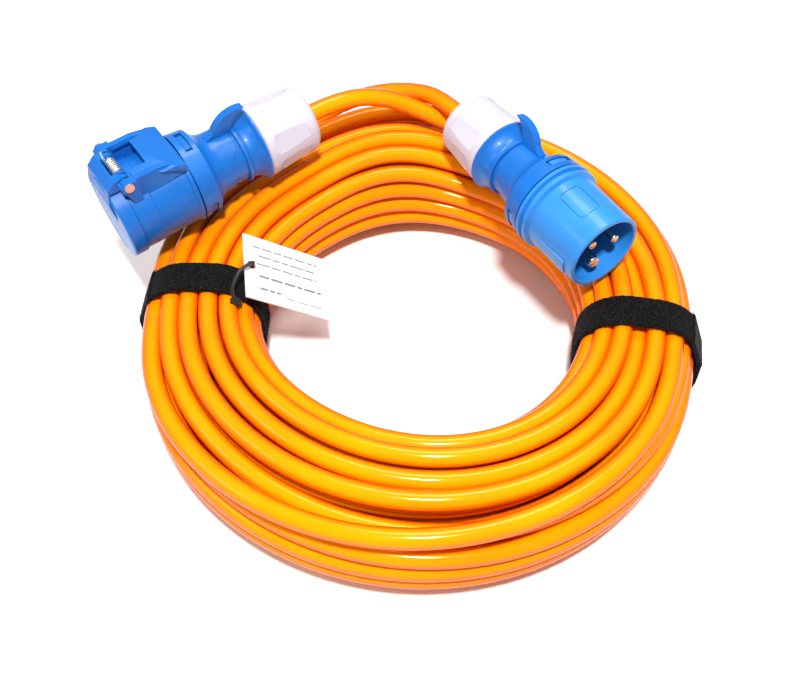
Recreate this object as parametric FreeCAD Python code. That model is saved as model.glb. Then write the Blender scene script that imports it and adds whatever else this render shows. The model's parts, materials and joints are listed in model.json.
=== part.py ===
"""Shore power cord: a coiled 16 A, 230 V, three-core extension lead.

Origin on the coil's own axis, in the plane the coil rests on, +Z up, millimetres.
A blue plug and a blue connector with a sprung lid lie on top of the coil, which two
hook-and-loop straps hold. Each end is drawn along its own axis: z = 0 at the back face
of its gland nut, +z to its mouth and +y to twelve o'clock, and is then put in place.
"""
import math
import os

import FreeCAD
import Part

# ---- cable and coil
CABLE_D = 10.5
COIL_OUTER_R = 153.0
COIL_INNER_R = 90.0
COIL_H = 64.0
COIL_EDGE_R = 25.0

# ---- where the two ends lie: middle of the nut's back face, middle of the mouth, roll in degrees
CONNECTOR_PLACE = ((-65.2, 98.6, 96.0), (-165.1, 25.6, 86.5), 0.0)
PLUG_PLACE = ((29.2, 105.0, 89.0), (100.5, 1.4, 87.8), -15.0)

# ---- each tail leaves its nut straight, then takes this route to where it joins the coil
TAIL_STRAIGHT = 25.0
CONNECTOR_TAIL = ((-19.0, 123.5, 91.5), (6.0, 124.0, 79.0), (30.0, 119.5, 70.5), (53.0, 108.5, 67.0))
PLUG_TAIL = ((-4.0, 142.0, 82.0), (-30.0, 152.5, 71.0), (-56.0, 149.5, 60.0), (-79.0, 134.5, 52.0))

# ---- fits
FIT = 0.05
GAP = 0.4

# ---- gland and rear housing, the same at both ends
NUT_L = 34.5
NUT_BACK_R = 19.2
NUT_FRONT_R = 21.3
NUT_FLATS = 8
THREAD_R = 16.4
SPIGOT_Z = 15.5
SEAT_R = 11.4
SEAT_END_Z = 33.0
LIP_R = 22.0
NECK_R = 17.2
RING_R = 18.4
RING_Z = 45.4
BODY_R = 17.6
COLLAR_Z = 68.5
COLLAR_END_Z = 79.6
COLLAR_R = 25.2
BORE_R = 14.6
SOCKET_R = 22.1
FIN_TOP_R = 28.6
FIN_T = 5.0
LIP_END_Z = 36.4
SHEATH_END_Z = 46.0

# ---- contacts
PIN_CIRCLE_R = 9.7
LINE_PIN_R = 2.5
EARTH_PIN_R = 3.5
CORE_R = 1.7
BARREL_WALL = 1.4
CONTACT_BACK_Z = 71.0
BARREL_L = 9.0
INSERT_R = 19.2
SCREW_R = 1.75

# ---- plug front
PLUG_FACE_Z = 88.0
PLUG_MOUTH_Z = 124.5
SHROUD_R = 22.1
SHROUD_WALL = 2.4
PIN_TIP_SHORT = 2.5
KEY_W = 6.8
KEY_R = 24.6

# ---- connector front
HOUSING_R = 24.6
HOUSING_END_Z = 119.5
SOCKET_WALL_R = 22.7
SOCKET_FLOOR_Z = 90.0
CORE_INSERT_R = 18.9
LID_FACE_Z = 124.0
LID_T = 3.0
LID_R = 25.8
LIP_OUTER_R = 23.4
SKIRT_BACK_Z = 116.0
HINGE_Y = 28.6
HINGE_Z = 113.0
HINGE_PIN_R = 1.9
KNUCKLE_R = 3.3
HOOD_HALF_W = 18.5
KNUCKLE_HALF_W = 13.0
SPRING_HALF_W = 6.6
SPRING_WIRE_R = 0.45

# ---- straps and tag
STRAP_W = 20.0
STRAP_T = 1.8
STRAP_GAP = 0.8
STRAP_ANGLES = {"strap_left": 180.0, "strap_right": -9.0}
TAG_CORNER = (-95.5, 25.0, 74.0)
TAG_RIGHT = (42.3, 10.4, -32.4)
TAG_DOWN = (7.1, -41.1, -5.5)
TAG_W = 54.0
TAG_H = 42.0
TAG_T = 0.8
TAG_HOLE = (4.5, 20.0)
TAG_HOLE_R = 2.6
TIE_R = 0.9
TIE_HEAD = (-96.6, -13.4, 60.6)
TIE_ROUTE = ((-97.8, -10.5, 68.0), (-93.8, -3.0, 75.2), (-86.4, 3.8, 75.4), (-88.2, 5.4, 68.3),
             (-92.6, 9.6, 62.4), (-95.4, 12.6, 58.6), (-97.8, 11.0, 56.0), (-97.8, -11.0, 56.0))

CABLE_R = CABLE_D / 2.0
X = FreeCAD.Vector(1, 0, 0)
Y = FreeCAD.Vector(0, 1, 0)
Z = FreeCAD.Vector(0, 0, 1)


def vec(x, y=0.0, z=0.0):
    return FreeCAD.Vector(x, y, z)


def turned(shape, degrees, axis=Z, centre=(0, 0, 0)):
    copy = shape.copy()
    copy.rotate(vec(*centre), axis, degrees)
    return copy


def outline(start, *steps):
    """Closed face in the XZ plane. A step is a point, or (point on an arc, its end)."""
    here = vec(start[0], 0, start[1])
    first = here
    edges = []
    for step in steps:
        if isinstance(step[0], tuple):
            middle = vec(step[0][0], 0, step[0][1])
            there = vec(step[1][0], 0, step[1][1])
            edges.append(Part.Arc(here, middle, there).toShape())
        else:
            there = vec(step[0], 0, step[1])
            edges.append(Part.LineSegment(here, there).toShape())
        here = there
    if here.distanceToPoint(first) > 1e-6:
        edges.append(Part.LineSegment(here, first).toShape())
    return Part.Face(Part.Wire(edges))


def lathe(start, *steps):
    """Solid of revolution about Z from an outline of (radius, height) points."""
    return outline(start, *steps).revolve(vec(0), Z, 360)


def ring(inner_r, outer_r, low, high):
    return lathe((inner_r, low), (outer_r, low), (outer_r, high), (inner_r, high))


def rod(radius, low, high, x=0.0, y=0.0):
    return Part.makeCylinder(radius, high - low, vec(x, y, low))


def block(x0, x1, y0, y1, z0, z1):
    return Part.makeBox(x1 - x0, y1 - y0, z1 - z0, vec(x0, y0, z0))


def side_profile(points, half_width):
    """Prism across x from an outline of (y, z) points."""
    corners = [vec(-half_width, y, z) for y, z in points]
    face = Part.Face(Part.makePolygon(corners + corners[:1]))
    return face.extrude(vec(2 * half_width))


def soften(shape, radius, wanted):
    """Fillet the edges for which wanted(edge) is true."""
    return shape.makeFillet(radius, [edge for edge in shape.Edges if wanted(edge)])


def tube(points, radius, label=None):
    """Straight runs joined by tangent arcs, as large as the runs allow."""
    spots = [vec(*p) for p in points]
    edges = []
    here = spots[0]
    radii = []
    for before, corner, after in zip(spots, spots[1:], spots[2:]):
        into = (corner - before).normalize()
        out = (after - corner).normalize()
        reach = 0.45 * min((corner - before).Length, (after - corner).Length)
        half_turn = into.getAngle(out) / 2.0
        bend = reach / math.tan(half_turn)
        radii.append(bend)
        arc_in = corner - into * reach
        arc_out = corner + out * reach
        to_middle = (out - into).normalize()
        middle = corner + to_middle * (bend / math.cos(half_turn) - bend)
        edges.append(Part.LineSegment(here, arc_in).toShape())
        edges.append(Part.Arc(arc_in, middle, arc_out).toShape())
        here = arc_out
    edges.append(Part.LineSegment(here, spots[-1]).toShape())
    path = Part.Wire(edges)
    start_dir = (spots[1] - spots[0]).normalize()
    section = Part.Wire([Part.makeCircle(radius, spots[0], start_dir)])
    solid = path.makePipeShell([section], True, False)
    if label:
        expected = math.pi * radius * radius * path.Length
        print(label, "length %.1f" % path.Length, "radii", [round(r) for r in radii],
              "volume ratio %.4f" % (solid.Volume / expected))
    return solid


def end_frame(place):
    """Matrix that takes an end's own axes to the cord's frame."""
    tail, mouth, roll = place
    forward = (vec(*mouth) - vec(*tail)).normalize()
    up = (Z - forward * Z.dot(forward)).normalize()
    side = up.cross(forward)
    lean = math.radians(roll)
    up_rolled = up * math.cos(lean) - side * math.sin(lean)
    side_rolled = up_rolled.cross(forward)
    matrix = FreeCAD.Matrix()
    matrix.A11, matrix.A21, matrix.A31 = side_rolled
    matrix.A12, matrix.A22, matrix.A32 = up_rolled
    matrix.A13, matrix.A23, matrix.A33 = forward
    matrix.A14, matrix.A24, matrix.A34 = tail
    return matrix


def on_circle(radius, degrees):
    angle = math.radians(degrees)
    return radius * math.cos(angle), radius * math.sin(angle)


# ---- contacts stand at six o'clock (earth) and a third of a turn to each side
CONTACTS = {
    "earth": (on_circle(PIN_CIRCLE_R, -90), EARTH_PIN_R),
    "live": (on_circle(PIN_CIRCLE_R, 30), LINE_PIN_R),
    "neutral": (on_circle(PIN_CIRCLE_R, 150), LINE_PIN_R),
}
PLUG_CONTACTS = {
    "earth": CONTACTS["earth"],
    "live": (CONTACTS["neutral"][0], LINE_PIN_R),
    "neutral": (CONTACTS["live"][0], LINE_PIN_R),
}


# ---------------------------------------------------------------- gland and rear housing
def gland_nut():
    """Tapered cap nut with shallow flats; its thread runs on the rear housing's spigot."""
    thread_clear = THREAD_R + GAP
    nut = lathe((6.6, 0.8), ((6.9, 0.1), (7.8, 0)), (15.0, 0), ((18.2, 1.4), (NUT_BACK_R, 4.5)),
                (NUT_FRONT_R, NUT_L - 3.0), (NUT_FRONT_R, NUT_L - 0.8), (NUT_FRONT_R - 0.8, NUT_L),
                (thread_clear, NUT_L), (thread_clear, 13.0), (13.2, 13.0), (13.2, 4.0), (6.6, 4.0))
    flat = block(-5.4, 5.4, NUT_BACK_R - 0.2, NUT_FRONT_R + 4, 7.0, NUT_L - 5.0)
    flat = soften(flat, 2.6, lambda e: abs(e.tangentAt(e.FirstParameter).y) > 0.9)
    flat.rotate(vec(0, NUT_BACK_R, 7.0), X, -2.6)
    for i in range(NUT_FLATS):
        nut = nut.cut(turned(flat, (i + 0.5) * 360.0 / NUT_FLATS))
    return nut


def thrust_ring():
    return ring(6.9, 12.8, 4.4, 6.1)


def clamp_cage():
    """Slotted fingers that the nut presses on the cable, on a ring in the seat."""
    inner = CABLE_R + 0.1
    cage = lathe((inner, 6.5), (8.6, 6.5), (11.0, 14.6), (SEAT_R - FIT, SPIGOT_Z + 0.2),
                 (SEAT_R - FIT, 20.0), (inner, 20.0))
    for i in range(4):
        cage = cage.cut(turned(block(-14, 14, -0.5, 0.5, 6, 14.5), i * 45.0))
    return cage


def gland_seal():
    return ring(CABLE_R + FIT, SEAT_R - FIT, 20.2, SEAT_END_Z - 0.5)


def shark_fin():
    """Hooked fin at twelve o'clock, its tip over the flared lip."""
    ridge = outline((NECK_R - 1.4, 46.2), (RING_R - 0.4, 46.2), ((24.4, 44.4), (FIN_TOP_R, LIP_END_Z)),
                    ((29.0, 46.5), (21.2, 57.0)), (BODY_R + 0.6, 62.0), (BODY_R - 1.4, 62.0))
    ridge.rotate(vec(0), Z, 90)
    fin = ridge.extrude(vec(FIN_T))
    fin.translate(vec(-FIN_T / 2))
    return fin


def rear_housing():
    """Thread spigot, flared lip, ring, waisted body with a fin, and a collar with three windows."""
    shell = lathe((SEAT_R, SPIGOT_Z), (THREAD_R - 0.8, SPIGOT_Z), (THREAD_R, SPIGOT_Z + 0.8),
                  (THREAD_R, NUT_L + GAP), (LIP_R, NUT_L + GAP), (LIP_R, NUT_L + 1.5),
                  ((NECK_R + 1.3, 39.5), (NECK_R, 43.6)), (NECK_R - 0.5, RING_Z - 0.7),
                  (RING_R, RING_Z), (RING_R, RING_Z + 1.8), (NECK_R - 0.6, RING_Z + 2.4),
                  (NECK_R - 0.6, RING_Z + 3.4), (NECK_R, RING_Z + 4.0), (BODY_R, 60.0),
                  ((BODY_R + 1.6, 65.2), (COLLAR_R - 2.2, COLLAR_Z)), (COLLAR_R - 0.9, COLLAR_Z + 1.0),
                  (COLLAR_R, COLLAR_END_Z), (SOCKET_R, COLLAR_END_Z), (SOCKET_R, COLLAR_Z + 0.2),
                  (17.0, COLLAR_Z - 1.2), (BORE_R + 0.8, 63.5), (BORE_R, 60.0),
                  (BORE_R, SEAT_END_Z + 4.0), (SEAT_R, SEAT_END_Z))
    shell = shell.fuse(shark_fin())
    scoop = ring(NECK_R - 0.8, BODY_R + 3, RING_Z + 1.9, 60.0)
    oval = Part.Ellipse(vec(15.0, 0, 0), vec(0, 9.5, 0), vec(0)).toShape()
    oval = Part.Face(Part.Wire(oval)).extrude(vec(0, 0, 60))
    oval.translate(vec(0, 0, -30))
    oval.rotate(vec(0), Y, 90)
    oval.rotate(vec(0), X, 90)
    oval.translate(vec(0, -2.0, RING_Z + 2.0))
    shell = shell.cut(scoop.common(oval))
    window = ring(SOCKET_R - 1, COLLAR_R + 1, COLLAR_Z + 3.4, COLLAR_Z + 7.6)
    wedge = side_profile(((0, 60), (40, 60), (40, 90), (0, 90)), 8.2)
    for i in range(3):
        shell = shell.cut(turned(window.common(wedge), i * 120.0))
    return shell


def cable_end():
    """Stripped end of the cable's jacket, held by the gland."""
    return rod(CABLE_R, 0.0, SHEATH_END_Z)


def core(spot, start_degrees):
    """One insulated wire from the jacket's end to its terminal."""
    x0, y0 = on_circle(2.4, start_degrees)
    points = ((x0, y0, SHEATH_END_Z + 0.1), (x0 * 1.02, y0 * 1.02, SHEATH_END_Z + 6),
              (spot[0] * 0.99, spot[1] * 0.99, 65.5), (spot[0], spot[1], CONTACT_BACK_Z + 5.0))
    return tube(points, CORE_R)


# ---------------------------------------------------------------- contacts
def barrel(spot, radius):
    """Terminal barrel with a wire hole behind and a screw hole at its side."""
    outer = radius + BARREL_WALL
    body = rod(outer, CONTACT_BACK_Z, CONTACT_BACK_Z + BARREL_L, *spot)
    body = body.cut(rod(CORE_R + 0.3, CONTACT_BACK_Z - 1, CONTACT_BACK_Z + 6.5, *spot))
    return body.cut(screw(spot, radius, SCREW_R + FIT))


def screw(spot, radius, shank_r):
    """Terminal screw, radial to the end's axis; radius is its contact's."""
    outward = vec(spot[0], spot[1]).normalize()
    start = outward * (PIN_CIRCLE_R + CORE_R + 0.3)
    start.z = CONTACT_BACK_Z + 3.0
    return Part.makeCylinder(shank_r, INSERT_R - 1.6 - start.dot(outward), start, outward)


def slotted_screw(spot, radius):
    shank = screw(spot, radius, SCREW_R)
    outward = vec(spot[0], spot[1]).normalize()
    angle = math.degrees(math.atan2(outward.y, outward.x))
    slot = block(INSERT_R - 2.4, INSERT_R, -0.35, 0.35, CONTACT_BACK_Z, CONTACT_BACK_Z + 6)
    return shank.cut(turned(slot, angle))


def screws():
    return Part.makeCompound([slotted_screw(*item) for item in CONTACTS.values()])


def insert(radius, face_z, bores):
    """Moulded block that carries the contacts; bores is extra radius round each pin."""
    body = rod(radius, CONTACT_BACK_Z - 0.5, face_z)
    for spot, pin_r in CONTACTS.values():
        chamber = pin_r + BARREL_WALL + FIT
        body = body.cut(rod(chamber, CONTACT_BACK_Z - 1, CONTACT_BACK_Z + BARREL_L + FIT, *spot))
        body = body.cut(rod(pin_r + bores, CONTACT_BACK_Z, face_z + 1, *spot))
        outward = vec(spot[0], spot[1]).normalize()
        hole = Part.makeCylinder(SCREW_R + 0.2, radius, vec(0, 0, CONTACT_BACK_Z + 3.0), outward)
        body = body.cut(hole)
    return body


def plug_pin(spot, radius):
    """Round pin with a domed tip and a thinner root inside the insert, on its terminal barrel."""
    tip = PLUG_MOUTH_Z - PIN_TIP_SHORT
    root = radius - 0.4
    shaft = lathe((0, CONTACT_BACK_Z + BARREL_L - 1), (root, CONTACT_BACK_Z + BARREL_L - 1),
                  (root, PLUG_FACE_Z), (radius, PLUG_FACE_Z),
                  (radius, tip - radius * 0.6), ((radius * 0.87, tip - radius * 0.18), (radius * 0.5, tip)), (0, tip))
    shaft.translate(vec(*spot))
    return barrel(spot, radius).fuse(shaft)


def sleeve(spot, radius):
    """Slit spring sleeve that takes a pin."""
    low = CONTACT_BACK_Z + BARREL_L - 1
    high = low + 26.0
    outer = rod(radius + 0.75, low, high, *spot)
    bore = rod(radius + FIT, low + 3, high + 1, *spot)
    outward = vec(spot[0], spot[1]).normalize()
    slit = block(0, 8, -0.4, 0.4, low + 14, high + 1)
    slit = turned(slit, math.degrees(math.atan2(outward.y, outward.x)))
    slit.translate(vec(*spot))
    return barrel(spot, radius).fuse(outer).cut(bore).cut(slit)


# ---------------------------------------------------------------- plug front
def front_sleeve():
    """Back of a front housing, inside the collar, with a catch in each window."""
    tube_part = ring(INSERT_R + 0.2, SOCKET_R - 0.3, COLLAR_Z + 0.3, COLLAR_END_Z + 1.4)
    catch = ring(INSERT_R + 0.5, COLLAR_R - 1.4, COLLAR_Z + 3.8, COLLAR_Z + 7.2)
    wedge = side_profile(((0, 60), (40, 60), (40, 90), (0, 90)), 6.0)
    for i in range(3):
        tube_part = tube_part.fuse(turned(catch.common(wedge), i * 120.0))
    return tube_part


def plug_shroud():
    """Round shroud with two flanges, a key at six o'clock and two plain moulded panels."""
    back = COLLAR_END_Z + 1.0
    inner = SHROUD_R - SHROUD_WALL
    shell = lathe((INSERT_R + 0.2, back), (COLLAR_R + 0.2, back), (COLLAR_R + 0.4, back + 2.2),
                  (SHROUD_R + 1.3, back + 2.8), (SHROUD_R + 1.3, back + 4.2), (COLLAR_R, back + 4.8),
                  (COLLAR_R, back + 6.8), (SHROUD_R + 0.8, back + 8.0), (SHROUD_R, PLUG_MOUTH_Z - 0.6),
                  (SHROUD_R - 0.6, PLUG_MOUTH_Z), (inner + 0.5, PLUG_MOUTH_Z), (inner, PLUG_MOUTH_Z - 0.5),
                  (inner, PLUG_FACE_Z), (INSERT_R + 0.2, PLUG_FACE_Z))
    key = block(-KEY_W / 2, KEY_W / 2, -KEY_R, -SHROUD_R + 0.6, back + 6.0, PLUG_MOUTH_Z - 1.0)
    key = soften(key, 0.8, lambda e: abs(e.tangentAt(e.FirstParameter).z) > 0.9 and e.CenterOfMass.y < -23.5)
    key = key.cut(rod(inner + 0.4, back, PLUG_MOUTH_Z + 1))
    shell = shell.fuse(front_sleeve()).fuse(key)
    shell = shell.cut(panel_groove())
    return shell.fuse(side_panel())


def panel_groove():
    """Shallow outline of a blank rounded panel between twelve and two o'clock."""
    outer = block(-6.5, 6.5, 15, 30, 93.5, 112.5)
    inner = block(-6.1, 6.1, 14, 31, 93.9, 112.1)
    along_y = lambda e: abs(e.tangentAt(e.FirstParameter).y) > 0.9
    frame = soften(outer, 3.0, along_y).cut(soften(inner, 2.6, along_y))
    skin = ring(SHROUD_R - 0.15, SHROUD_R + 3, 92, 114)
    return turned(frame.common(skin), 24.0)


def side_panel():
    """Low raised panel along the shroud, between four and five o'clock."""
    pad = block(-5.5, 5.5, 18, 30, 92.0, 118.0)
    pad = soften(pad, 1.5, lambda e: abs(e.tangentAt(e.FirstParameter).y) > 0.9)
    skin = ring(SHROUD_R - 0.5, SHROUD_R + 1.0, 91, 119)
    return turned(pad.common(skin), 118.0)


# ---------------------------------------------------------------- connector front
def connector_housing():
    """Socket body with a keyway at six o'clock, and the hood that carries the lid's hinge."""
    back = COLLAR_END_Z + 1.0
    shell = lathe((CORE_INSERT_R + 0.2, back), (COLLAR_R, back), (COLLAR_R, back + 1.6),
                  (HOUSING_R - 0.3, back + 2.2), (HOUSING_R - 0.3, 104.0), (HOUSING_R + 0.2, 104.6),
                  (HOUSING_R + 0.2, SKIRT_BACK_Z - GAP), (LIP_OUTER_R, SKIRT_BACK_Z - GAP),
                  (LIP_OUTER_R, HOUSING_END_Z), (SOCKET_WALL_R, HOUSING_END_Z),
                  (SOCKET_WALL_R, SOCKET_FLOOR_Z), (CORE_INSERT_R + 0.2, SOCKET_FLOOR_Z))
    keyway_r = KEY_R + 0.6
    bulge = block(-KEY_W / 2 - 2.6, KEY_W / 2 + 2.6, -keyway_r - 1.6, -SOCKET_WALL_R - 0.5,
                  SOCKET_FLOOR_Z - 2, SKIRT_BACK_Z - GAP)
    slot = block(-KEY_W / 2 - 0.6, KEY_W / 2 + 0.6, -keyway_r, -SOCKET_WALL_R + 1.5, SOCKET_FLOOR_Z, 130)
    sleeve_part = front_sleeve().cut(rod(INSERT_R + 0.2, 60, 100))
    shell = shell.fuse(sleeve_part).fuse(bulge).fuse(hood()).cut(slot)
    return shell.cut(rod(SOCKET_WALL_R, SOCKET_FLOOR_Z, 130))


def hood():
    """Arched hinge hood on two walls, open at its front for the knuckles, with a window."""
    top = side_profile(((24.0, 80.9), (25.4, 80.9), (29.4, 90.0), (31.6, 96.0), (31.6, 117.0),
                        (28.6, 117.0), (28.6, 96.5), (26.8, 90.8), (22.0, 82.0)), HOOD_HALF_W)
    arch = Part.makeCylinder(44.0, 60, vec(0, -12.2, 70))
    top = top.common(arch)
    wall_profile = ((20.0, 81.0), (25.4, 81.0), (29.4, 90.0), (30.6, 96.0), (30.6, 114.0),
                    (27.0, 117.0), (25.2, 116.6), (16.0, 110.0))
    wall = side_profile(wall_profile, HOOD_HALF_W - 1.6).cut(side_profile(wall_profile, KNUCKLE_HALF_W + GAP))
    cheek = side_profile(((17.0, 108.0), (30.8, 108.0), (30.8, 115.0), (28.6, 117.0), (25.6, 117.0),
                          (24.6, 115.4), (17.0, 113.0)), HOOD_HALF_W)
    cheek = cheek.cut(side_profile(((0, 100), (40, 100), (40, 120), (0, 120)), KNUCKLE_HALF_W + GAP))
    shape = top.fuse(wall).fuse(cheek)
    shape = shape.cut(block(-KNUCKLE_HALF_W - GAP, KNUCKLE_HALF_W + GAP, 20, 40, HINGE_Z - 4.6, 120))
    shape = shape.cut(block(-12.0, 9.0, 26, 40, 98.5, 110))
    shape = shape.cut(hinge_rod(HINGE_PIN_R + FIT, HOOD_HALF_W + 1))
    return shape.cut(rod(HOUSING_R - 1.2, 70, 130))


def hinge_rod(radius, half_length):
    return Part.makeCylinder(radius, 2 * half_length, vec(-half_length, HINGE_Y, HINGE_Z), X)


def hinge_pin():
    """Steel pin with a low head at each end."""
    pin = hinge_rod(HINGE_PIN_R, HOOD_HALF_W + 0.2)
    for side in (-1, 1):
        head = Part.makeCylinder(2.6, 0.9, vec(side * (HOOD_HALF_W + 0.1), HINGE_Y, HINGE_Z), X * side)
        pin = pin.fuse(head)
    return pin


def lid():
    """Round lid with a skirt, a wedge-shaped bracket and two knuckles."""
    inside = LID_FACE_Z - LID_T
    disc = lathe((0, inside), (LIP_OUTER_R + 0.6, inside), (LIP_OUTER_R + 0.6, SKIRT_BACK_Z),
                 (LID_R, SKIRT_BACK_Z), (LID_R, LID_FACE_Z - 0.8), (LID_R - 0.8, LID_FACE_Z), (0, LID_FACE_Z))
    wedge = side_profile(((HINGE_Y + 2.8, HINGE_Z), (HINGE_Y + 2.2, 118.6), (26.6, 123.2), (17.5, LID_FACE_Z + 1.4),
                          (6.0, LID_FACE_Z + 0.2), (6.0, LID_FACE_Z - 1), (LIP_OUTER_R + 1.2, LID_FACE_Z - 1),
                          (LIP_OUTER_R + 1.2, SKIRT_BACK_Z + 0.4), (HINGE_Y - 1.8, HINGE_Z + 1.0)),
                         KNUCKLE_HALF_W)
    barrel_part = hinge_rod(KNUCKLE_R, KNUCKLE_HALF_W)
    shape = disc.fuse(wedge).fuse(barrel_part)
    gap = block(-SPRING_HALF_W - 0.5, SPRING_HALF_W + 0.5, HINGE_Y - 4.2, HINGE_Y + 6, HINGE_Z - 5, HINGE_Z + 4.4)
    shape = shape.cut(gap)
    for x in (-10.4, 9.2):
        shape = shape.cut(block(x, x + 1.2, HINGE_Y - 5, HINGE_Y + 6, HINGE_Z - 5, HINGE_Z + 0.6))
    shape = shape.cut(hinge_rod(HINGE_PIN_R + FIT, KNUCKLE_HALF_W + 1))
    return shape


def lid_gasket():
    inside = LID_FACE_Z - LID_T
    return ring(SOCKET_WALL_R - 3.4, LIP_OUTER_R + 0.2, HOUSING_END_Z + 0.3, inside)


def lid_spring():
    """Torsion spring on the hinge pin: one leg under the hood, one behind the lid's bracket."""
    coil_r = HINGE_PIN_R + 0.2 + SPRING_WIRE_R
    pitch = 1.5
    turns = 7
    helix = Part.makeHelix(pitch, pitch * turns, coil_r)
    section = Part.Wire([Part.makeCircle(SPRING_WIRE_R, vec(coil_r, 0, 0), vec(0, 1, 0.1))])
    spring = Part.Wire(helix).makePipeShell([section], True, True)
    leg_r = SPRING_WIRE_R + 0.06
    back_leg = Part.makeCylinder(leg_r, 9.0, vec(coil_r, 0.35, 0), -Y)
    front_leg = Part.makeCylinder(leg_r, 3.2, vec(coil_r, -0.35, pitch * turns), Y)
    spring = spring.fuse(back_leg).fuse(front_leg)
    spring.rotate(vec(0), Y, 90)
    spring.rotate(vec(0), X, 180)
    spring.translate(vec(-pitch * turns / 2, HINGE_Y, HINGE_Z))
    return spring


# ---------------------------------------------------------------- coil, straps and tag
def coil_section(grow, low, high):
    """Rounded rectangle in the XZ plane, grown sideways by grow."""
    x0 = COIL_INNER_R - grow
    x1 = COIL_OUTER_R + grow
    r = COIL_EDGE_R + grow
    k = r * (1 - math.sqrt(0.5))
    return outline((x0 + r, low), (x1 - r, low), ((x1 - k, low + k), (x1, low + r)),
                   (x1, high - r), ((x1 - k, high - k), (x1 - r, high)), (x0 + r, high),
                   ((x0 + k, high - k), (x0, high - r)), (x0, low + r), ((x0 + k, low + k), (x0 + r, low)))


def strap_band(slack):
    """Band round the coil's section at angle 0, thicker by slack all over."""
    top = COIL_H + STRAP_GAP + STRAP_T
    width = STRAP_W + 2 * slack
    outer = coil_section(STRAP_GAP + STRAP_T + slack, -slack, top + slack)
    inner = coil_section(STRAP_GAP - slack, STRAP_T + slack, top - STRAP_T - slack)
    band = outer.cut(inner).extrude(vec(0, width))
    band.translate(vec(0, -width / 2))
    return band


def strap(degrees):
    """Closed band with its free end doubled over the outer side."""
    outside = COIL_OUTER_R + STRAP_GAP + STRAP_T
    band = strap_band(0)
    flap = block(outside - 0.1, outside + STRAP_T, -STRAP_W / 2, STRAP_W / 2, 17, COIL_H - COIL_EDGE_R)
    return turned(band.fuse(flap), degrees)


def cable_coil(tails):
    """Outer shape of the wound turns, grooved under the straps and for the tails."""
    coil = coil_section(0, 0, COIL_H).revolve(vec(0), Z, 360)
    for degrees in STRAP_ANGLES.values():
        coil = coil.cut(turned(strap_band(0.3), degrees))
    for tail in tails:
        coil = coil.cut(tail)
    return coil


def tag_matrix():
    right = vec(*TAG_RIGHT).normalize()
    down = vec(*TAG_DOWN)
    down = (down - right * down.dot(right)).normalize()
    normal = down.cross(right)
    matrix = FreeCAD.Matrix()
    matrix.A11, matrix.A21, matrix.A31 = right
    matrix.A12, matrix.A22, matrix.A32 = down
    matrix.A13, matrix.A23, matrix.A33 = -normal
    matrix.A14, matrix.A24, matrix.A34 = TAG_CORNER
    return matrix


def tag_card():
    """Laminated card with a punched hole, in its own plane."""
    card = block(0, TAG_W, 0, TAG_H, -TAG_T / 2, TAG_T / 2)
    return card.cut(rod(TAG_HOLE_R, -5, 5, *TAG_HOLE))


def tag_tie():
    """Cable tie round the left strap and through the card's hole, with its square head."""
    head = block(-2.6, 2.6, -1.8, 1.8, -2.6, 2.6)
    head.rotate(vec(0), Y, 45)
    head.translate(vec(*TIE_HEAD))
    return tube((TIE_HEAD,) + TIE_ROUTE + (TIE_HEAD,), TIE_R).fuse(head)


# ---------------------------------------------------------------- assembly
def rear_group(name, contacts):
    """Nodes of one end behind its front housing, in that end's own axes."""
    group = {
        name + "_gland_nut": gland_nut(),
        name + "_thrust_ring": thrust_ring(),
        name + "_clamp_cage": clamp_cage(),
        name + "_gland_seal": gland_seal(),
        name + "_rear_housing": rear_housing(),
        name + "_cable_jacket_end": cable_end(),
        name + "_terminal_screws": screws(),
    }
    for role, (spot, radius) in contacts.items():
        angle = math.degrees(math.atan2(spot[1], spot[0]))
        group[name + "_" + role + "_core"] = core(spot, angle)
    return group


def plug_group():
    group = rear_group("plug", PLUG_CONTACTS)
    group["plug_shroud"] = plug_shroud()
    group["plug_contact_insert"] = insert(INSERT_R, PLUG_FACE_Z, FIT)
    for role, (spot, radius) in PLUG_CONTACTS.items():
        group["plug_" + role + "_pin"] = plug_pin(spot, radius)
    return group


def connector_group():
    group = rear_group("connector", CONTACTS)
    group["connector_front_housing"] = connector_housing()
    group["connector_contact_insert"] = insert(CORE_INSERT_R, HOUSING_END_Z - 2.0, 0.85)
    for role, (spot, radius) in CONTACTS.items():
        group["connector_" + role + "_sleeve"] = sleeve(spot, radius)
    group["lid"] = lid()
    group["lid_gasket"] = lid_gasket()
    group["lid_hinge_pin"] = hinge_pin()
    group["lid_spring"] = lid_spring()
    return group


def moved(shape, matrix):
    copy = shape.copy()
    copy.Placement = FreeCAD.Placement(matrix).multiply(copy.Placement)
    return copy


def placed(group, matrix):
    return {name: moved(shape, matrix) for name, shape in group.items()}


def tail_tube(place, route, label):
    start = vec(*place[0])
    backward = (start - vec(*place[1])).normalize()
    straight_end = start + backward * TAIL_STRAIGHT
    return tube((tuple(start), tuple(straight_end)) + route, CABLE_R, label)


def build():
    nodes = placed(plug_group(), end_frame(PLUG_PLACE))
    nodes.update(placed(connector_group(), end_frame(CONNECTOR_PLACE)))
    nodes["cable_tail_connector"] = tail_tube(CONNECTOR_PLACE, CONNECTOR_TAIL, "cable_tail_connector")
    nodes["cable_tail_plug"] = tail_tube(PLUG_PLACE, PLUG_TAIL, "cable_tail_plug")
    nodes["cable_coil"] = cable_coil([nodes["cable_tail_connector"], nodes["cable_tail_plug"], tag_tie()])
    for name, degrees in STRAP_ANGLES.items():
        nodes[name] = strap(degrees)
    nodes["tag_card"] = moved(tag_card(), tag_matrix())
    nodes["tag_tie"] = tag_tie()
    return nodes


def main():
    os.makedirs("parts", exist_ok=True)
    for name, shape in build().items():
        print("%-28s solids %d valid %s volume %.0f" % (name, len(shape.Solids), shape.isValid(), shape.Volume))
        shape.exportStep("parts/" + name + ".step")


main()
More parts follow.
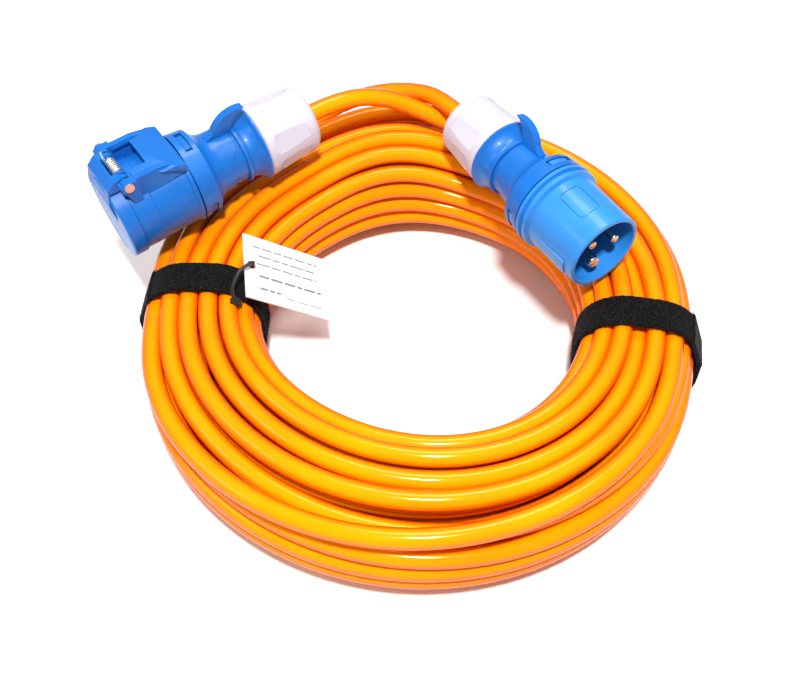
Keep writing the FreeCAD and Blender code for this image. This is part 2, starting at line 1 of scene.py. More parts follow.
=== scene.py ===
"""Shore power cord: the looks of the coiled extension lead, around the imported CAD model.

Metres, in the CAD frame: origin on the coil's axis in the plane it rests on, +Z up. The
cable is one NURBS curve from gland to gland. Its turns are points (radius, height) at
fixed stations round the coil, which a small packing loop moves until none overlap.
"""
import json
import math
import random

import bmesh
import bpy
import numpy as np
from mathutils import Matrix, Vector


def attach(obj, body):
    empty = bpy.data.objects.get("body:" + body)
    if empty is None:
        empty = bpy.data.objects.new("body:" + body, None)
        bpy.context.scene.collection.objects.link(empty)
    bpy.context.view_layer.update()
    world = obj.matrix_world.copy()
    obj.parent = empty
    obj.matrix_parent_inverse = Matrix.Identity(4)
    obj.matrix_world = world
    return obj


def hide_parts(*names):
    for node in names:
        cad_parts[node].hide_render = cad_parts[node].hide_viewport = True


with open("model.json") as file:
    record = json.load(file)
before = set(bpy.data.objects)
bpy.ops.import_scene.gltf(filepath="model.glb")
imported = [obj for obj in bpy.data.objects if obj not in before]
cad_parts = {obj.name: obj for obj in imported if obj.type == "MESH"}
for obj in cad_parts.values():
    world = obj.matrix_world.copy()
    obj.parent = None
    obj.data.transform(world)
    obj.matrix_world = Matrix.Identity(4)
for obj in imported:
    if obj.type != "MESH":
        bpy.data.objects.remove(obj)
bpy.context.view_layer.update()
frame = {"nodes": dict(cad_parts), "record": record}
MM = 0.001

# ---- cable and coil, as in the CAD
CABLE_D = 10.5 * MM
CABLE_R = CABLE_D / 2
COIL_OUTER_R = 153.0 * MM
COIL_INNER_R = 90.0 * MM
COIL_H = 64.0 * MM
COIL_EDGE_R = 25.0 * MM

# ---- cable from each gland, in mm: the gland's exit and a point behind it, then the route
CONNECTOR_PLACE = ((-65.2, 98.6, 96.0), (-165.1, 25.6, 86.5))
PLUG_PLACE = ((29.2, 105.0, 89.0), (100.5, 1.4, 87.8))
TAIL_STRAIGHT = 25.0
CONNECTOR_TAIL = ((-19.0, 123.5, 91.5), (6.0, 124.0, 79.0), (30.0, 119.5, 70.5), (53.0, 108.5, 67.0))
PLUG_TAIL = ((-4.0, 142.0, 82.0), (-30.0, 152.5, 71.0), (-56.0, 149.5, 60.0), (-79.0, 134.5, 52.0))

# ---- the turns: stations round the coil, and the slots that they fill in its section
STATIONS = 32
WHOLE_TURNS = 25
FIRST_STATION = 5
LAST_STATION = 12
RING_SLOTS = 17
TOP_SLOTS = 9
INNER_SLOTS = 8
INNER_START = 0.62
SHIFT_START = 0.30
SHIFT_SHARE = 0.5
WANDER = 1.6 * MM
WANDER_STATIONS = 8

# ---- how the turns settle
SETTLE_STEPS = 420
LATE_STEPS = 0.9
SMOOTHING = 0.35
LATE_SMOOTHING = 0.10
CLEARANCE = 1.004
PUSH = 0.8

# ---- where the tails meet the turns: (radius, height) of the two stations outside them
CONNECTOR_END = ((122.9 * MM, 71.6 * MM), (121.4 * MM, 68.2 * MM))
PLUG_END = ((154.4 * MM, 50.0 * MM), (159.3 * MM, 58.4 * MM))
HELD = 2
TURNS_SEED = 7
END_ROOM = (0.0, 0.0, 6.5 * MM, 4.0 * MM, 2.0 * MM, 0.8 * MM)
JOIN_STATIONS = 6

# ---- the loosely wound shape: lengths, and stretches as (middle, half span) in degrees
LOOSE_EDGE_R = 12.0 * MM
STRAP_PINCH_SPAN = 32.0
STRAP_LIFT = 2.6 * MM
SIDE_SLIDE = 3.4 * MM
OUTER_SPREAD = 4.6 * MM
INNER_SPREAD = 7.0 * MM
BACK_STRETCH = (110.0, 62.0)
INNER_STRETCH = (245.0, 72.0)
HEAP_STRETCH = (99.0, 36.0)
HEAP_LIFT = 10.0 * MM
HEAP_SPREAD = 6.0 * MM

# ---- straps, as in the CAD
STRAP_W = 20.0 * MM
STRAP_T = 1.8 * MM
STRAP_GAP = 0.8 * MM
STRAP_FLOOR = 1.3 * MM
STRAP_ANGLES = {"strap_left": 180.0, "strap_right": -9.0}
STRAP_POINTS = 300
STRAP_ACROSS = 25
EDGE_ROUND = 0.9 * MM
EDGE_THIN = 0.35
NAP = 0.22 * MM
EDGE_NAP = 0.25 * MM

# ---- the strap's doubled end: it starts and runs back round the section by these fractions
FLAP_POINTS = 60
FLAP_START = 0.01
FLAP_SHARE = 0.19
FLAP_INSET = 0.3 * MM
FLAP_THIN = 0.9
FLAP_LIFT = 0.7
FLAP_PEEL = 1.6 * MM
FLAP_PEEL_FROM = 0.6

# ---- fibres of the nap: (share of the length, radius) of their three rings
STRAP_FIBRES = 2600
FLAP_FIBRES = 300
FIBRE_LENGTH = (0.5 * MM, 1.3 * MM)
FIBRE_CURL = 0.35 * MM
FIBRE_RINGS = ((-0.2, 0.07 * MM), (0.5, 0.06 * MM), (1.0, 0.02 * MM))
FIBRE_SIDES = (0.0, 2.094, 4.189)
EDGE_FIBRES = 0.4
FIBRE_FLOOR = 0.1 * MM

# ---- tag, as in the CAD, and its ruled lines in mm: (down, left, right, half thickness)
TAG_CORNER = Vector((-95.5, 25.0, 74.0)) * MM
TAG_RIGHT = Vector((42.3, 10.4, -32.4)).normalized()
TAG_DOWN = Vector((7.1, -41.1, -5.5))
TAG_DOWN = (TAG_DOWN - TAG_RIGHT * TAG_DOWN.dot(TAG_RIGHT)).normalized()
TAG_T = 0.8 * MM
PRINT_SUNK = 0.05 * MM
PRINT_PROUD = 0.03 * MM
PRINT_SEED = 3
PRINT_GAP = 1.2
PRINT_DASH = (3.0, 9.0)
PRINT_LINES = ((7.0, 6.0, 48.0, 0.45), (12.5, 9.0, 46.0, 0.45), (18.0, 8.0, 47.0, 0.45),
               (26.0, 9.0, 49.0, 0.7), (34.0, 9.0, 22.0, 0.7), (36.0, 25.0, 49.0, 0.3))

# ---- lamps: place, the point each faces, size, watts
LAMPS = {
    "key": ((0.02, -0.42, 1.10), (0.0, 0.0, 0.03), 0.12, 17.0),
    "overhead": ((0.10, 0.45, 1.2), (0.0, 0.0, 0.03), 0.5, 7.0),
    "fill": ((-0.9, -0.3, 0.7), (0.0, 0.0, 0.05), 0.5, 2.0),
}
WORLD_STRENGTH = 0.34
FLOOR_SIZE = 8.0


# ---------------------------------------------------------------- camera, floor and light
def place_camera():
    """View from 51.5 degrees above the floor, 0.559 m from a point on the coil's axis."""
    aim = Vector((0.0, 0.0, 0.030))
    spot = Vector((0.0, -0.3480, 0.4675))
    forward = (aim - spot).normalized()
    right = Vector((1.0, 0.0, 0.0))
    up = right.cross(forward)
    roll = math.radians(1.0)
    rolled_right = right * math.cos(roll) + up * math.sin(roll)
    rolled_up = up * math.cos(roll) - right * math.sin(roll)
    data = bpy.data.cameras.new("camera")
    data.sensor_width = 36.0
    data.lens = 44.055
    data.shift_x = -0.0175
    data.shift_y = -0.030
    camera = bpy.data.objects.new("camera", data)
    bpy.context.collection.objects.link(camera)
    turn = Matrix((rolled_right, rolled_up, -forward)).transposed()
    camera.matrix_world = Matrix.Translation(spot) @ turn.to_4x4()
    bpy.context.scene.camera = camera


def area_light(name, spot, aim, size, watts):
    """Round lamp at spot, turned towards aim."""
    data = bpy.data.lights.new(name, "AREA")
    data.shape = "DISK"
    data.size = size
    data.energy = watts
    lamp = bpy.data.objects.new(name, data)
    lamp.location = spot
    lamp.rotation_euler = (Vector(aim) - Vector(spot)).to_track_quat("-Z", "Y").to_euler()
    bpy.context.collection.objects.link(lamp)


def light_studio():
    """Soft lamps, an even white surround, and colours shown without a film curve."""
    for name, lamp in LAMPS.items():
        area_light(name, *lamp)
    world = bpy.data.worlds.new("studio")
    world.use_nodes = True
    background = world.node_tree.nodes["Background"]
    background.inputs["Color"].default_value = (1.0, 1.0, 1.0, 1.0)
    background.inputs["Strength"].default_value = WORLD_STRENGTH
    bpy.context.scene.world = world
    bpy.context.scene.view_settings.view_transform = "Standard"


# ---------------------------------------------------------------- materials
def new_material(name):
    """Material, its node tree and its principled shader."""
    material = bpy.data.materials.new(name)
    material.use_nodes = True
    tree = material.node_tree
    return material, tree, tree.nodes["Principled BSDF"]


def noise(tree, scale, detail=3.0):
    """Noise in the part's own coordinates; scale is in features per metre."""
    coords = tree.nodes.new("ShaderNodeTexCoord")
    node = tree.nodes.new("ShaderNodeTexNoise")
    node.inputs["Scale"].default_value = scale
    node.inputs["Detail"].default_value = detail
    tree.links.new(coords.outputs["Object"], node.inputs["Vector"])
    return node.outputs["Fac"]


def ramp(tree, source, low, high, low_at=0.35, high_at=0.65):
    """Colours low to high as source goes from low_at to high_at."""
    node = tree.nodes.new("ShaderNodeValToRGB")
    node.color_ramp.elements[0].position = low_at
    node.color_ramp.elements[0].color = (*low, 1.0)
    node.color_ramp.elements[1].position = high_at
    node.color_ramp.elements[1].color = (*high, 1.0)
    tree.links.new(source, node.inputs["Fac"])
    return node.outputs["Color"]


def remap(tree, source, low, high):
    """Spreads the middle of a noise's range over low to high."""
    node = tree.nodes.new("ShaderNodeMapRange")
    node.inputs["From Min"].default_value = 0.3
    node.inputs["From Max"].default_value = 0.7
    node.inputs["To Min"].default_value = low
    node.inputs["To Max"].default_value = high
    tree.links.new(source, node.inputs["Value"])
    return node.outputs["Result"]


def bump(tree, shader, source, height, under=None):
    """Bump of the given height in metres, on top of another bump's normal."""
    node = tree.nodes.new("ShaderNodeBump")
    node.inputs["Distance"].default_value = height
    tree.links.new(source, node.inputs["Height"])
    if under:
        tree.links.new(under, node.inputs["Normal"])
    tree.links.new(node.outputs["Normal"], shader.inputs["Normal"])
    return node.outputs["Normal"]


def plastic(name, color, rough=(0.3, 0.42), grain=900.0, grain_height=0.02 * MM, mottle=0.05, coat=0.0):
    """Moulded plastic: slight colour drift, uneven gloss, fine spark-eroded grain."""
    material, tree, shader = new_material(name)
    darker = tuple(c * (1 - mottle) for c in color)
    lighter = tuple(min(1.0, c * (1 + mottle)) for c in color)
    tree.links.new(ramp(tree, noise(tree, 35.0), darker, lighter), shader.inputs["Base Color"])
    tree.links.new(remap(tree, noise(tree, 90.0, 5.0), *rough), shader.inputs["Roughness"])
    shader.inputs["Specular IOR Level"].default_value = 0.35
    shader.inputs["Coat Weight"].default_value = coat
    wave = bump(tree, shader, noise(tree, 60.0, 1.0), 0.05 * MM)
    bump(tree, shader, noise(tree, grain, 2.0), grain_height, wave)
    return material


def turned_away(tree):
    """0 where the surface faces the view, 1 at its edges."""
    node = tree.nodes.new("ShaderNodeLayerWeight")
    return node.outputs["Facing"]


def mixed(tree, factor, first, second):
    """Colour first where factor is 0, second where it is 1."""
    node = tree.nodes.new("ShaderNodeMix")
    node.data_type = "RGBA"
    tree.links.new(factor, node.inputs["Factor"])
    tree.links.new(first, node.inputs["A"])
    tree.links.new(second, node.inputs["B"])
    return node.outputs["Result"]


def cable_jacket():
    """Orange polyurethane: glossy, with slow colour drift and tiny pits; painted shade makes it redder
    towards its edges.
    """
    material, tree, shader = new_material("cable_orange")
    # Painted shade: each tone ramps from yellow-orange where the jacket faces the view to deep red where
    # it turns away, standing in for the shade on the turns' sides.
    away = turned_away(tree)
    bright = {"low": (1.0, 0.32, 0.0), "high": (0.82, 0.085, 0.0)}
    deep = {"low": (0.95, 0.26, 0.0), "high": (0.72, 0.065, 0.0)}
    shaded_plain = ramp(tree, away, low_at=0.12, high_at=0.75, **bright)
    deeper = ramp(tree, away, low_at=0.12, high_at=0.75, **deep)
    drift = remap(tree, noise(tree, 18.0), 0.0, 1.0)
    tree.links.new(mixed(tree, drift, shaded_plain, deeper), shader.inputs["Base Color"])
    tree.links.new(remap(tree, noise(tree, 70.0, 4.0), 0.09, 0.17), shader.inputs["Roughness"])
    shader.inputs["Specular IOR Level"].default_value = 0.34
    shader.inputs["Specular Tint"].default_value = (1.0, 0.75, 0.42, 1.0)
    wave = bump(tree, shader, noise(tree, 55.0, 1.0), 0.12 * MM)
    bump(tree, shader, noise(tree, 700.0, 3.0), 0.02 * MM, wave)
    return material


def metal(name, color, tarnish, rough):
    """Bare metal: patches of tarnish, uneven gloss, a faint grain."""
    material, tree, shader = new_material(name)
    patches = ramp(tree, noise(tree, 160.0, 6.0), tarnish, color, 0.3, 0.55)
    tree.links.new(patches, shader.inputs["Base Color"])
    tree.links.new(remap(tree, noise(tree, 500.0, 4.0), *rough), shader.inputs["Roughness"])
    shader.inputs["Metallic"].default_value = 1.0
    bump(tree, shader, noise(tree, 900.0, 2.0), 0.01 * MM)
    return material


def hook_and_loop():
    """Black napped webbing: matt, with pale specks where loops catch the light."""
    material, tree, shader = new_material("strap_black")
    black = (0.002, 0.002, 0.0022)
    speck = (0.040, 0.038, 0.036)
    specks = ramp(tree, noise(tree, 1400.0, 4.0), black, speck, 0.52, 0.80)
    tree.links.new(specks, shader.inputs["Base Color"])
    shader.inputs["Roughness"].default_value = 0.95
    shader.inputs["Specular IOR Level"].default_value = 0.08
    shader.inputs["Sheen Weight"].default_value = 0.04
    shader.inputs["Sheen Roughness"].default_value = 0.5
    bump(tree, shader, noise(tree, 1800.0, 4.0), 0.2 * MM)
    return material


def card_face():
    """Laminated white card with a faint paper fibre under the gloss."""
    material, tree, shader = new_material("tag_white")
    fibre = ramp(tree, noise(tree, 600.0, 5.0), (0.70, 0.71, 0.73), (0.78, 0.79, 0.80))
    tree.links.new(fibre, shader.inputs["Base Color"])
    tree.links.new(remap(tree, noise(tree, 120.0), 0.18, 0.34), shader.inputs["Roughness"])
    shader.inputs["Coat Weight"].default_value = 0.4
    bump(tree, shader, noise(tree, 45.0, 1.0), 0.15 * MM)
    return material


def make_materials():
    """One material for each slot in the record, and two more for single pieces."""
    housing = {"rough": (0.34, 0.46), "grain": 1300.0, "mottle": 0.06, "coat": 0.15}
    nut = {"rough": (0.38, 0.5), "grain": 1100.0, "grain_height": 0.015 * MM, "mottle": 0.02}
    return {
        "cable_orange": cable_jacket(),
        "nut_white": plastic("nut_white", (0.54, 0.51, 0.58), **nut),
        "cage_grey": plastic("cage_grey", (0.45, 0.47, 0.50)),
        "seal_rubber": plastic("seal_rubber", (0.03, 0.03, 0.032), rough=(0.6, 0.8)),
        "housing_blue": plastic("housing_blue", (0.004, 0.125, 0.47), **housing),
        # Painted light: a paler copy of the housing blue, standing in for the light falling on the plug's
        # shroud.
        "hood_blue": plastic("hood_blue", (0.022, 0.215, 0.62), **housing),
        "insert_blue": plastic("insert_blue", (0.035, 0.15, 0.47), rough=(0.4, 0.55)),
        "steel": metal("steel", (0.86, 0.86, 0.88), (0.66, 0.66, 0.68), (0.35, 0.5)),
        "contact_nickel": metal("contact_nickel", (0.86, 0.80, 0.74), (0.66, 0.52, 0.42), (0.14, 0.26)),
        "core_green": plastic("core_green", (0.25, 0.55, 0.10)),
        "core_brown": plastic("core_brown", (0.22, 0.10, 0.05)),
        "core_blue": plastic("core_blue", (0.10, 0.25, 0.70)),
        "strap_black": hook_and_loop(),
        "tag_white": card_face(),
        "tag_print": plastic("tag_print", (0.20, 0.21, 0.24), rough=(0.5, 0.6)),
        "tie_black": plastic("tie_black", (0.02, 0.02, 0.022), rough=(0.35, 0.5)),
    }


def paint_nodes(materials):
    """Each CAD node gets the material of its slot, but the plug's shroud gets a paler copy of the housing
    blue, painted light.
    """
    slots = {part["node"]: part["material_slot"] for part in frame["record"]["subparts"]}
    for name, piece in frame["nodes"].items():
        piece.data.materials.clear()
        # The plug's shroud takes the paler blue of painted light.
        look = "hood_blue" if name == "plug_shroud" else slots[name]
        piece.data.materials.append(materials[look])


# ---------------------------------------------------------------- the coil's turns
def bump_at(degrees, middle, half_span):
    """1 at the middle of a stretch of the coil, falling smoothly to 0 at its ends."""
    away = abs((degrees - middle + 180.0) % 360.0 - 180.0)
    return math.cos(0.5 * math.pi * min(1.0, away / half_span)) ** 2


def pinch_at(degrees):
    """1 under a strap, 0 well away from both."""
    return max(bump_at(degrees, angle, STRAP_PINCH_SPAN) for angle in STRAP_ANGLES.values())


def corner_at(degrees):
    """Corner radius of the turns' section: the straps round it off."""
    return LOOSE_EDGE_R + (COIL_EDGE_R - LOOSE_EDGE_R) * pinch_at(degrees)


def spread(degrees, radius):
    """Radius of a turn once the coil has slid sideways and its loose stretches have spread."""
    outward = (radius - COIL_INNER_R) / (COIL_OUTER_R - COIL_INNER_R)
    front = 1.0 - bump_at(degrees, *BACK_STRETCH)
    out = OUTER_SPREAD * front * (1.0 - pinch_at(degrees))
    inward = INNER_SPREAD * bump_at(degrees, *INNER_STRETCH)
    return radius + SIDE_SLIDE * math.cos(math.radians(degrees)) + out * outward - inward * (1.0 - outward)


def section_point(along, inset, edge):
    """Point (r, z) at a fraction of the way round the section, inset from its surface.

    It starts at the middle of the outer top corner and goes over the top to the inner side.
    """
    x0 = COIL_INNER_R + inset
    x1 = COIL_OUTER_R - inset
    z0 = inset
    z1 = COIL_H - inset
    radius = max(edge - inset, 2 * MM)
    corners = ((x1 - radius, z1 - radius, 0.0), (x0 + radius, z1 - radius, 0.5),
               (x0 + radius, z0 + radius, 1.0), (x1 - radius, z0 + radius, 1.5))
    flats = (x1 - x0 - 2 * radius, z1 - z0 - 2 * radius, x1 - x0 - 2 * radius, z1 - z0 - 2 * radius)
    quarter = math.pi / 2 * radius
    rest = (along % 1.0) * (sum(flats) + 4 * quarter) + quarter / 2
    for (cx, cz, start), flat in zip(corners, flats):
        if rest <= quarter:
            angle = start * math.pi + rest / radius
            return cx + radius * math.cos(angle), cz + radius * math.sin(angle)
        rest -= quarter
        if rest <= flat:
            angle = (start + 0.5) * math.pi
            base = (cx + radius * math.cos(angle), cz + radius * math.sin(angle))
            step = (-math.sin(angle), math.cos(angle))
            return base[0] + step[0] * rest, base[1] + step[1] * rest
        rest -= flat
    return section_point(0.0, inset, edge)


def slot_path(edge):
    """Where each turn lies in the section: over the top and down the inner side, through
    the middle from below, and up the outer side."""
    ring = [section_point((i + 1) / RING_SLOTS, CABLE_R, edge) for i in range(RING_SLOTS)]
    deeper = CABLE_R + CABLE_D
    inner = [section_point(INNER_START - i / INNER_SLOTS, deeper, edge) for i in range(INNER_SLOTS)]
    middle = (0.5 * (COIL_INNER_R + COIL_OUTER_R), 0.5 * COIL_H)
    inner.insert(INNER_SLOTS // 2, middle)
    return np.array(ring[:TOP_SLOTS] + inner + ring[TOP_SLOTS:])


def smooth_step(x):
    """0 up to x = 0, 1 from x = 1, and smooth between."""
    x = np.clip(x, 0.0, 1.0)
    return x * x * (3 - 2 * x)


def first_guess(count, stations, rng):
    """Chain of (r, z) points, one per station, that moves one slot over in each turn."""
    slots_at = [slot_path(corner_at(360.0 * s / STATIONS)) for s in range(STATIONS)]
    guess = np.empty((count, 2))
    for k in range(count):
        turn, part = divmod(k, STATIONS)
        slots = slots_at[stations[k]]
        shift = smooth_step((part / STATIONS - SHIFT_START) / SHIFT_SHARE)
        here = slots[min(turn, len(slots) - 1)]
        following = slots[min(turn + 1, len(slots) - 1)]
        guess[k] = here + (following - here) * shift
    knots = rng.normal(0.0, WANDER, (count // WANDER_STATIONS + 3, 2))
    spots = np.arange(count) / WANDER_STATIONS
    for axis in range(2):
        guess[:, axis] += np.interp(spots, np.arange(len(knots)), knots[:, axis])
    return guess


def contain(points, low, high, radius):
    """Pushes centres back inside each station's rounded section."""
    points[:] = np.minimum(np.maximum(points, low), high)
    nearest = np.minimum(np.maximum(points, low + radius[:, None]), high - radius[:, None])
    gap = points - nearest
    reach = np.linalg.norm(gap, axis=1)
    outside = reach > radius
    points[outside] = nearest[outside] + gap[outside] * (radius[outside] / reach[outside])[:, None]


def settle(points, stations, fixed, low, high, radius):
    """Moves the free points until no turn overlaps another, and keeps each turn smooth."""
    groups = [np.flatnonzero(stations == s) for s in range(STATIONS)]
    held = points[fixed].copy()
    for step in range(SETTLE_STEPS):
        late = step > SETTLE_STEPS * LATE_STEPS
        smoothing = LATE_SMOOTHING if late else SMOOTHING
        middle = 0.5 * (points[:-2] + points[2:])
        points[1:-1] += smoothing * (middle - points[1:-1])
        for group in groups:
            spot = points[group]
            away = spot[:, None, :] - spot[None, :, :]
            apart = np.linalg.norm(away, axis=2)
            np.fill_diagonal(apart, 1.0)
            short = np.clip(CABLE_D * CLEARANCE - apart, 0.0, None)
            push = (away / np.maximum(apart, 1e-6)[..., None]) * short[..., None] * 0.5
            points[group] += push.sum(axis=1) * PUSH
        contain(points, low, high, radius)
        points[fixed] = held


def room_for(stations):
    """Lowest and highest (radius, height) of the turns' centres, and their corner radius."""
    degrees = [360.0 * s / STATIONS for s in stations]
    low = np.tile((COIL_INNER_R + CABLE_R, CABLE_R), (len(stations), 1))
    low[:, 1] += STRAP_LIFT * np.array([pinch_at(angle) for angle in degrees])
    high = np.tile((COIL_OUTER_R - CABLE_R, COIL_H - CABLE_R), (len(stations), 1))
    high[:len(END_ROOM), 1] += END_ROOM
    high[-len(END_ROOM):, 0] += END_ROOM[::-1]
    corners = np.array([corner_at(angle) for angle in degrees])
    return low, high, corners - CABLE_R


def loosen(angle, radius, height, joined):
    """Turn's point in space, after the coil has spread; joined is 0 where a tail holds it."""
    degrees = math.degrees(angle)
    radius += (spread(degrees, radius) - radius) * joined
    heap = bump_at(degrees, *HEAP_STRETCH)
    height += HEAP_LIFT * heap * height / COIL_H
    radius += HEAP_SPREAD * heap * (radius - COIL_INNER_R) / (COIL_OUTER_R - COIL_INNER_R)
    return radius * math.cos(angle), radius * math.sin(angle), height


def coil_turns():
    """Control points of the turns, from the connector's tail to the plug's, clockwise."""
    rng = np.random.default_rng(TURNS_SEED)
    count = WHOLE_TURNS * STATIONS + (FIRST_STATION - LAST_STATION) % STATIONS + 1
    index = np.arange(-HELD, count + HELD)
    stations = (FIRST_STATION - index) % STATIONS
    points = np.empty((len(index), 2))
    points[HELD:-HELD] = first_guess(count, stations[HELD:-HELD], rng)
    points[:HELD] = CONNECTOR_END
    points[-HELD:] = PLUG_END
    fixed = np.zeros(len(index), bool)
    fixed[:HELD] = True
    fixed[-HELD:] = True
    settle(points, stations, fixed, *room_for(stations))
    turns = []
    for k, ((radius, height), station) in enumerate(zip(points[~fixed], stations[~fixed])):
        angle = 2 * math.pi * station / STATIONS
        joined = smooth_step(min(k, count - 1 - k) / JOIN_STATIONS)
        turns.append(loosen(angle, radius, height, joined))
    return turns


def tail_points(place, route):
    """A gland's exit, the end of its straight stretch and the tail's own route."""
    start = Vector(place[0])
    backward = (start - Vector(place[1])).normalized()
    return [tuple(v * MM for v in point) for point in (start, start + backward * TAIL_STRAIGHT, *route)]


def make_cable(materials):
    """The whole cable as one curve, gland to gland."""
    start = tail_points(CONNECTOR_PLACE, CONNECTOR_TAIL)
    end = tail_points(PLUG_PLACE, PLUG_TAIL)
    route = start + coil_turns() + end[::-1]
    data = bpy.data.curves.new("cable", "CURVE")
    data.dimensions = "3D"
    data.bevel_depth = CABLE_R
    data.bevel_resolution = 5
    data.resolution_u = 4
    data.use_fill_caps = True
    spline = data.splines.new("NURBS")
    spline.points.add(len(route) - 1)
    for point, spot in zip(spline.points, route):
        point.co = (*spot, 1.0)
    spline.order_u = 3
    spline.use_endpoint_u = True
    data.materials.append(materials["cable_orange"])
    cable = bpy.data.objects.new("cable", data)
    bpy.context.collection.objects.link(cable)
    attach(cable, "base")
    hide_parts("cable_coil", "cable_tail_connector", "cable_tail_plug")
    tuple(start[0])


# ---------------------------------------------------------------- straps
def strap_point(along, offset, degrees):
    """Point of a strap outside the coil's section, slid sideways with the turns it holds."""
    radius, height = section_point(along, -offset, COIL_EDGE_R)
    return spread(degrees, radius), max(height, STRAP_FLOOR)


def strip_profile(half_width):
    """Points (across, side) of a strip's section: its outer face, then back along its inner."""
    steps = [2 * i / (STRAP_ACROSS - 1) - 1 for i in range(STRAP_ACROSS)]
    return [(half_width * x, 1.0) for x in steps] + [(-half_width * x, -1.0) for x in steps]


def add_strip(mesh, loop, closed, half_width, half_thick, rng):
    """Strip with rounded edges and a rough nap, along points of the section plane."""
    profile = strip_profile(half_width)
    rows = []
    count = len(loop)
    for i, (r, z) in enumerate(loop):
        before = loop[i - 1] if closed or i else loop[i]
        after = loop[(i + 1) % count] if closed or i < count - 1 else loop[i]
        along = Vector((after[0] - before[0], after[1] - before[1])).normalized()
        normal = Vector((along.y, -along.x))
        row = []
        for y, side in profile:
            edge = min(1.0, (half_width - abs(y)) / EDGE_ROUND)
            nap = rng.uniform(-NAP, NAP) * edge
            thick = side * half_thick * (EDGE_THIN + (1 - EDGE_THIN) * edge) + nap
            y_rough = y + rng.uniform(-EDGE_NAP, EDGE_NAP) * (1 - edge)
            row.append(mesh.verts.new((r + normal.x * thick, y_rough, z + normal.y * thick)))
        rows.append(row)
    pairs = zip(rows, rows[1:] + rows[:1]) if closed else zip(rows, rows[1:])
    for low, high in pairs:
        join_rings(mesh, low, high)
    if not closed:
        mesh.faces.new(rows[0][::-1])
        mesh.faces.new(rows[-1])


def join_rings(mesh, low, high):
    """Faces between two rings with the same number of vertices."""
    width = len(low)
    for j in range(width):
        mesh.faces.new((low[j], low[(j + 1) % width], high[(j + 1) % width], high[j]))


def add_fibre(mesh, base, out, rng):
    """One short curled fibre: a three-sided spike of three rings."""
    bend = Vector([rng.uniform(-1, 1) for _ in range(3)]) * FIBRE_CURL
    length = rng.uniform(*FIBRE_LENGTH)
    side = out.orthogonal().normalized()
    other = out.cross(side)
    rings = []
    for part, radius in FIBRE_RINGS:
        middle = base + out * length * part + bend * max(part, 0.0) ** 2
        middle.z = max(middle.z, FIBRE_FLOOR)
        rings.append([mesh.verts.new(middle + (side * math.cos(a) + other * math.sin(a)) * radius)
                      for a in FIBRE_SIDES])
    for low, high in zip(rings, rings[1:]):
        join_rings(mesh, low, high)
    mesh.faces.new(rings[0][::-1])
    mesh.faces.new(rings[-1])


def add_fibres(mesh, loop, half_width, lift, count, rng):
    """Fibres standing out of the nap, thicker along the strap's edges."""
    for _ in range(count):
        spot = rng.uniform(0, len(loop) - 1)
        i = int(spot)
        r, z = loop[i]
        after = loop[(i + 1) % len(loop)]
        along = Vector((after[0] - r, 0, after[1] - z)).normalized()
        normal = Vector((along.z, 0, -along.x))
        if rng.random() < EDGE_FIBRES:
            y = half_width * rng.choice((-1, 1)) * rng.uniform(0.94, 1.0)
            out = Vector((0, math.copysign(1, y), 0)) + normal * rng.uniform(-0.3, 0.9)
            base = Vector((r, y, z)) + normal * lift * rng.uniform(-0.8, 0.8)
        else:
            y = rng.uniform(-half_width, half_width)
            out = normal + Vector((0, rng.uniform(-0.6, 0.6), 0)) + along * rng.uniform(-0.6, 0.6)
            base = Vector((r, y, z)) + normal * lift
        add_fibre(mesh, base, out.normalized(), rng)


def flap_points(degrees, offset):
    """The strap's doubled end: over the outer side, its tip lifting away."""
    flap = []
    for i in range(FLAP_POINTS):
        part = i / (FLAP_POINTS - 1)
        lift = FLAP_LIFT * STRAP_T + FLAP_PEEL * max(0.0, part - FLAP_PEEL_FROM)
        flap.append(strap_point(-FLAP_START - FLAP_SHARE * part, offset + lift, degrees))
    return flap


def new_piece(name, mesh, material):
    """Object made from a bmesh, with its faces turned outward."""
    bmesh.ops.recalc_face_normals(mesh, faces=mesh.faces)
    data = bpy.data.meshes.new(name)
    mesh.to_mesh(data)
    mesh.free()
    data.materials.append(material)
    piece = bpy.data.objects.new(name, data)
    bpy.context.collection.objects.link(piece)
    return piece


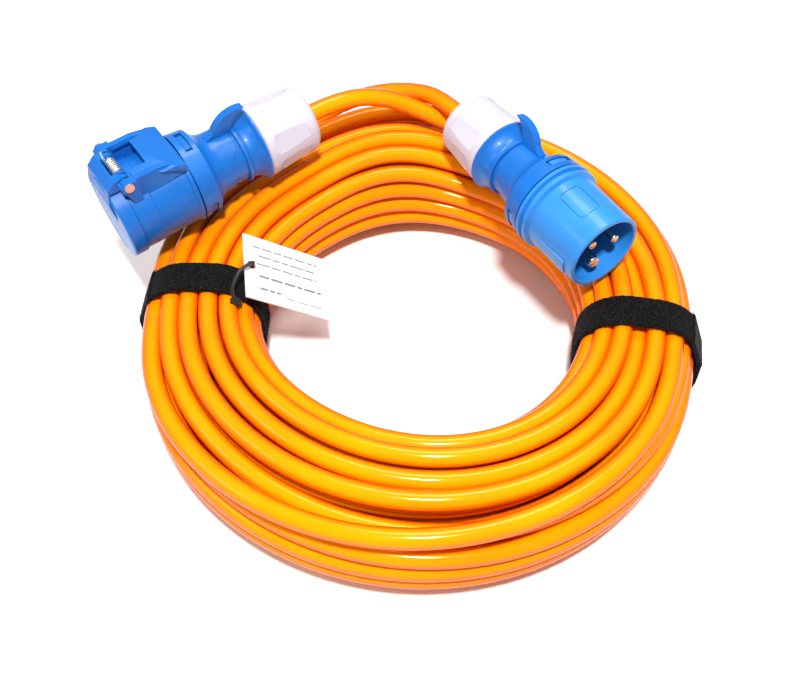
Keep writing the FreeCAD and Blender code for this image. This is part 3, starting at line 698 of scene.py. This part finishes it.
def make_strap(name, degrees, materials, seed):
    """Napped band round the turns, its free end doubled over the outer side."""
    rng = random.Random(seed)
    mesh = bmesh.new()
    offset = STRAP_GAP + STRAP_T / 2
    loop = [strap_point(i / STRAP_POINTS, offset, degrees) for i in range(STRAP_POINTS)]
    add_strip(mesh, loop, True, STRAP_W / 2, STRAP_T / 2, rng)
    flap = flap_points(degrees, offset)
    add_strip(mesh, flap, False, STRAP_W / 2 - FLAP_INSET, STRAP_T / 2 * FLAP_THIN, rng)
    add_fibres(mesh, loop, STRAP_W / 2, STRAP_T / 2, STRAP_FIBRES, rng)
    add_fibres(mesh, flap, STRAP_W / 2, STRAP_T / 2, FLAP_FIBRES, rng)
    turn = Matrix.Rotation(math.radians(degrees), 3, "Z")
    bmesh.ops.rotate(mesh, cent=(0, 0, 0), matrix=turn, verts=mesh.verts)
    strap = new_piece(name + "_webbing", mesh, materials["strap_black"])
    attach(strap, "base")
    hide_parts(name)


# ---------------------------------------------------------------- tag
def add_dash(mesh, left, right, down, half_thick, normal):
    """Thin raised bar on the card's face."""
    ends = ((left, down - half_thick), (right, down - half_thick),
            (right, down + half_thick), (left, down + half_thick))
    corners = [TAG_CORNER + (TAG_RIGHT * u + TAG_DOWN * v) * MM for u, v in ends]
    low = [mesh.verts.new(corner + normal * (TAG_T / 2 - PRINT_SUNK)) for corner in corners]
    high = [mesh.verts.new(corner + normal * (TAG_T / 2 + PRINT_PROUD)) for corner in corners]
    join_rings(mesh, low, high)
    mesh.faces.new(low[::-1])
    mesh.faces.new(high)


def make_tag_print(materials):
    """Plain ruled dashes in place of lettering."""
    rng = random.Random(PRINT_SEED)
    mesh = bmesh.new()
    normal = TAG_DOWN.cross(TAG_RIGHT).normalized()
    if normal.z < 0:
        normal = -normal
    for down, left, right, half_thick in PRINT_LINES:
        x = left
        while x < right:
            width = min(rng.uniform(*PRINT_DASH), right - x)
            add_dash(mesh, x, x + width, down, half_thick, normal)
            x += width + PRINT_GAP
    dashes = new_piece("tag_print", mesh, materials["tag_print"])
    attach(dashes, "tag")


def make_floor():
    """Pale matt plane under everything."""
    material, tree, shader = new_material("floor")
    drift = ramp(tree, noise(tree, 6.0), (0.86, 0.86, 0.86), (0.90, 0.90, 0.90))
    tree.links.new(drift, shader.inputs["Base Color"])
    shader.inputs["Roughness"].default_value = 0.9
    bpy.ops.mesh.primitive_plane_add(size=FLOOR_SIZE, location=(0, 0, 0))
    floor = bpy.context.object
    floor.name = "floor"
    floor.data.materials.append(material)


place_camera()
materials = make_materials()
make_cable(materials)
paint_nodes(materials)
for number, (strap_name, strap_degrees) in enumerate(STRAP_ANGLES.items()):
    make_strap(strap_name, strap_degrees, materials, number)
make_tag_print(materials)
make_floor()
light_studio()
